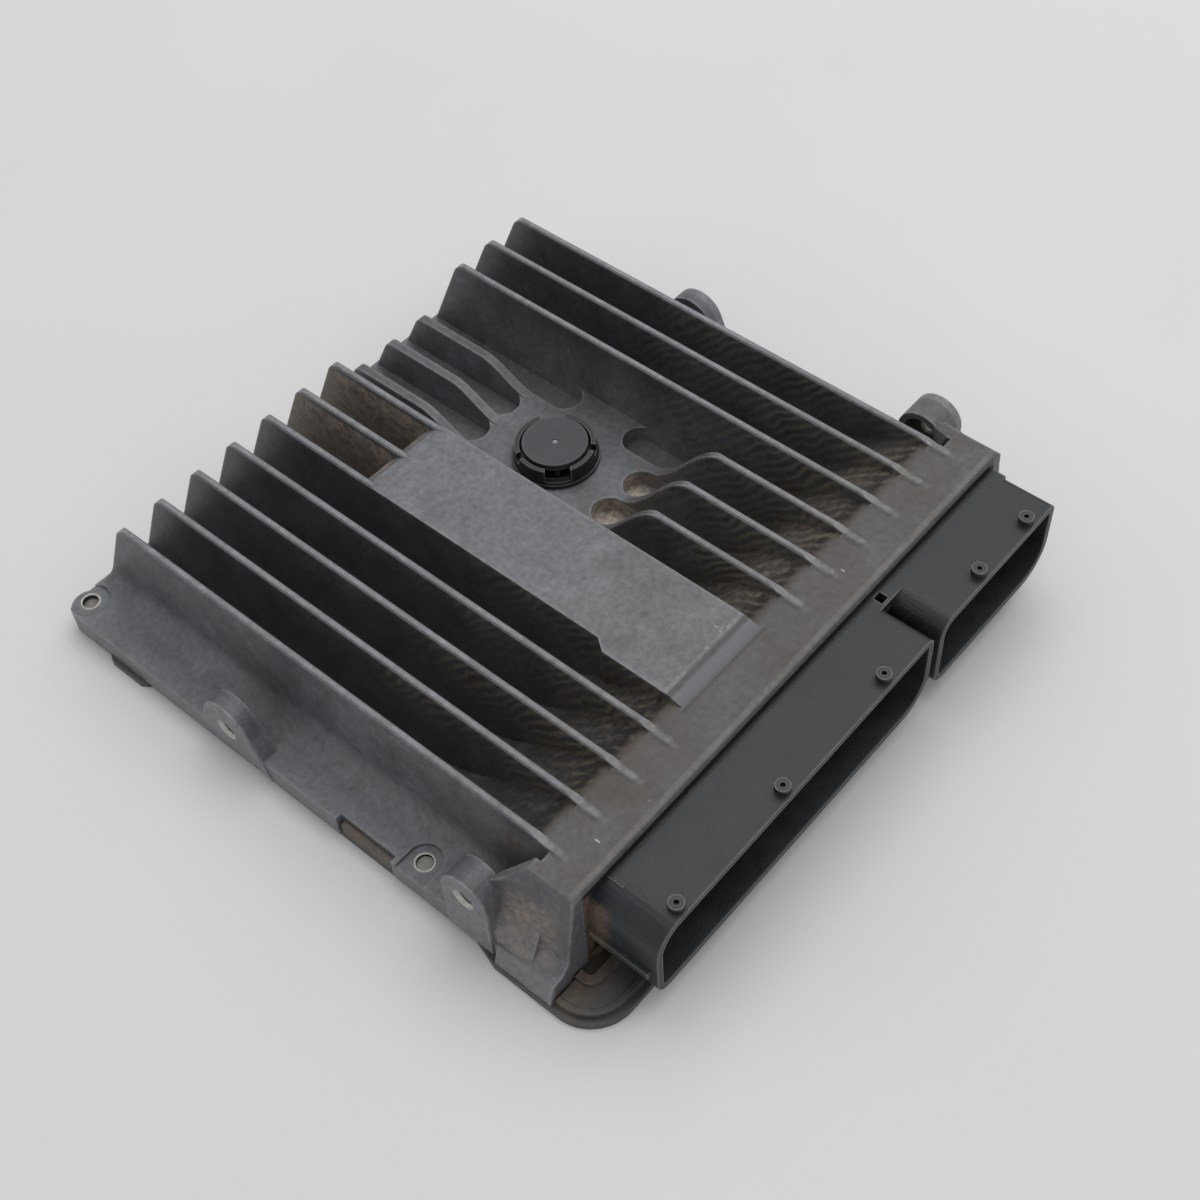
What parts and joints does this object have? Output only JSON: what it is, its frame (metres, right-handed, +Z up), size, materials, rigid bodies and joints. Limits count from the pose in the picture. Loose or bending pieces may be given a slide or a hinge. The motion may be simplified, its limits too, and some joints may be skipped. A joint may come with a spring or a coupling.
{
  "type": "engine control unit",
  "caption": "Finned die-cast engine control unit with a two-port plug header at the front, a round vent on the cover, threaded side ears and a pressed base plate round a sealed circuit board.",
  "frame": {"origin": "Middle of the unit's footprint, on the surface the base plate lies on.", "axes": "+X from the large port's outer end to the small port's outer end, -Y towards the port mouths, +Z up from the base plate to the fin tops."},
  "size_m": [0.1884, 0.192, 0.036],
  "materials": {
    "cast_cover": "black coated die casting, worn and dusty",
    "pressed_base": "black coated pressed sheet",
    "header_plastic": "fine grained moulding",
    "tinned_brass": "plated",
    "vent_gloss": "smooth moulding",
    "vent_matte": "fine grained moulding",
    "membrane": "matte",
    "seal_rubber": "matte",
    "seal_bead": "dusty cured bead",
    "board_laminate": "solder mask",
    "chip_moulding": "moulded",
    "capacitor_sleeve": "shrunk sleeve",
    "ferrite": "sintered",
    "plain_can": "plain",
    "gap_pad": "soft",
    "screw_steel": "dull zinc"
  },
  "bodies": {
    "root": {"cover": "cast_cover", "base_plate": "pressed_base", "connector_header": "header_plastic", "large_port_pins": "tinned_brass", "small_port_pins": "tinned_brass", "vent_body": "vent_gloss", "vent_cap": "vent_matte", "vent_membrane": "membrane", "vent_o_ring": "seal_rubber", "cover_seal": "seal_bead", "header_seal": "seal_bead", "circuit_board": "board_laminate", "microcontroller": "chip_moulding", "flash_memory": "chip_moulding", "power_drivers": "chip_moulding", "injector_mosfets": "chip_moulding", "capacitors": "capacitor_sleeve", "inductors": "ferrite", "crystal": "plain_can", "voltage_regulator": "chip_moulding", "pressure_sensor": "plain_can", "can_transceivers": "chip_moulding", "sense_resistors": "chip_moulding", "thermal_pads": "gap_pad", "cover_screws": "screw_steel", "board_screws": "screw_steel"}
  },
  "joints": []
}
